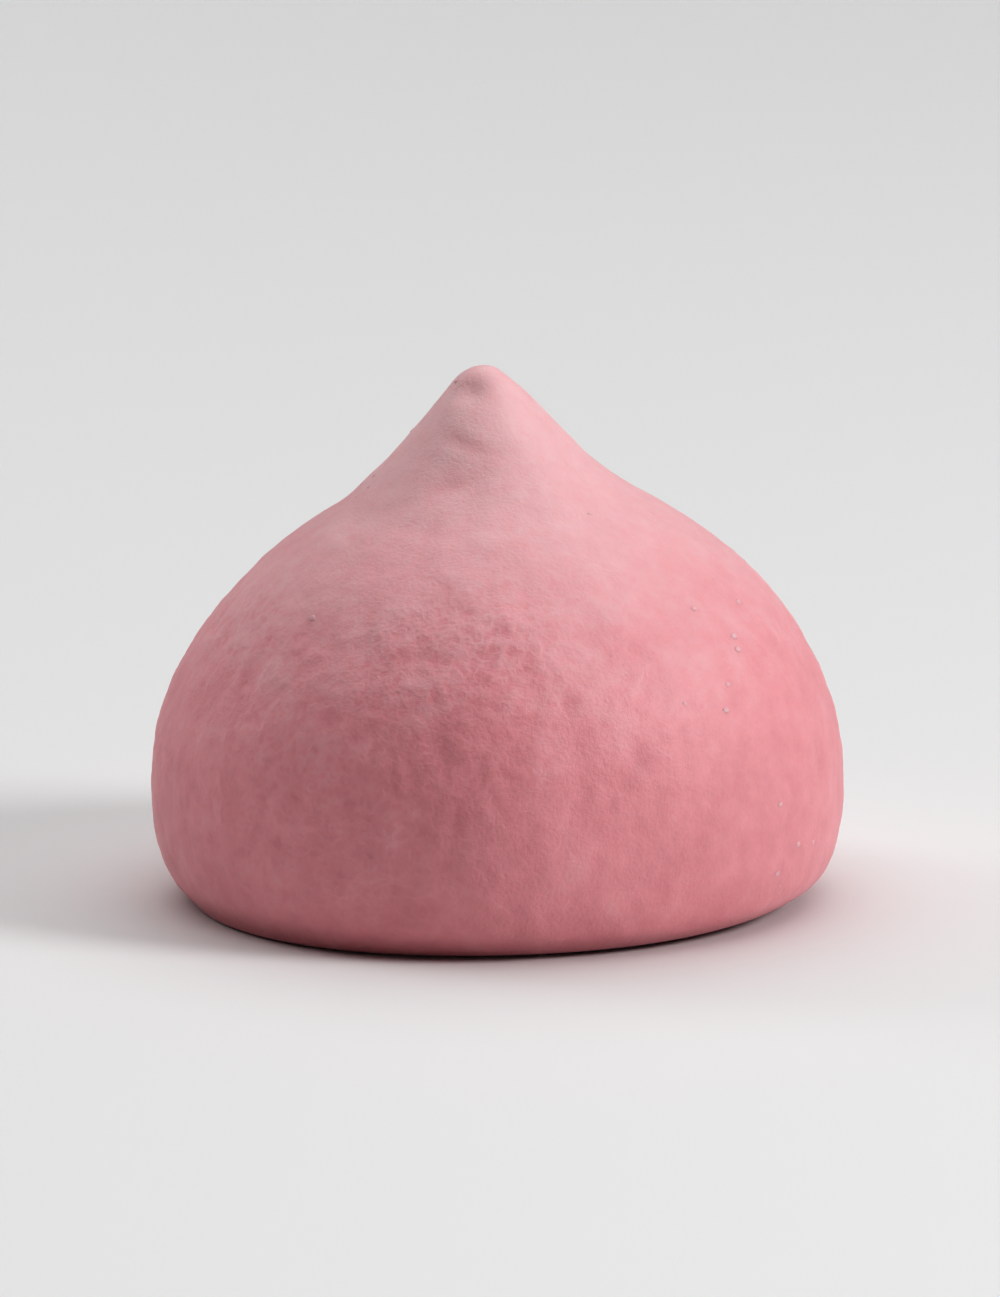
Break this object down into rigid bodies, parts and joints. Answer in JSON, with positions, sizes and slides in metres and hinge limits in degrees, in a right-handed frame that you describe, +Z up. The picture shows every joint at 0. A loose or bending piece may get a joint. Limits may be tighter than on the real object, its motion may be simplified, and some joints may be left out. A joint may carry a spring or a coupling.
{
  "type": "meringue cookie",
  "caption": "Small pink piped meringue cookie: a round drop with a broad belly, a concave neck, a blunt leaning tip and a low flat foot to stand on.",
  "frame": {"origin": "on the surface it stands on, under the middle of its bounding box", "axes": "+Z up from the flat foot to the tip, +X to the right and +Y away from the viewer as in the picture"},
  "size_m": [0.0358, 0.0358, 0.028],
  "materials": {
    "meringue_skin": "dry matt baked egg white foam, pale pink, finely grained"
  },
  "bodies": {
    "root": {"meringue": "meringue_skin"}
  },
  "joints": []
}
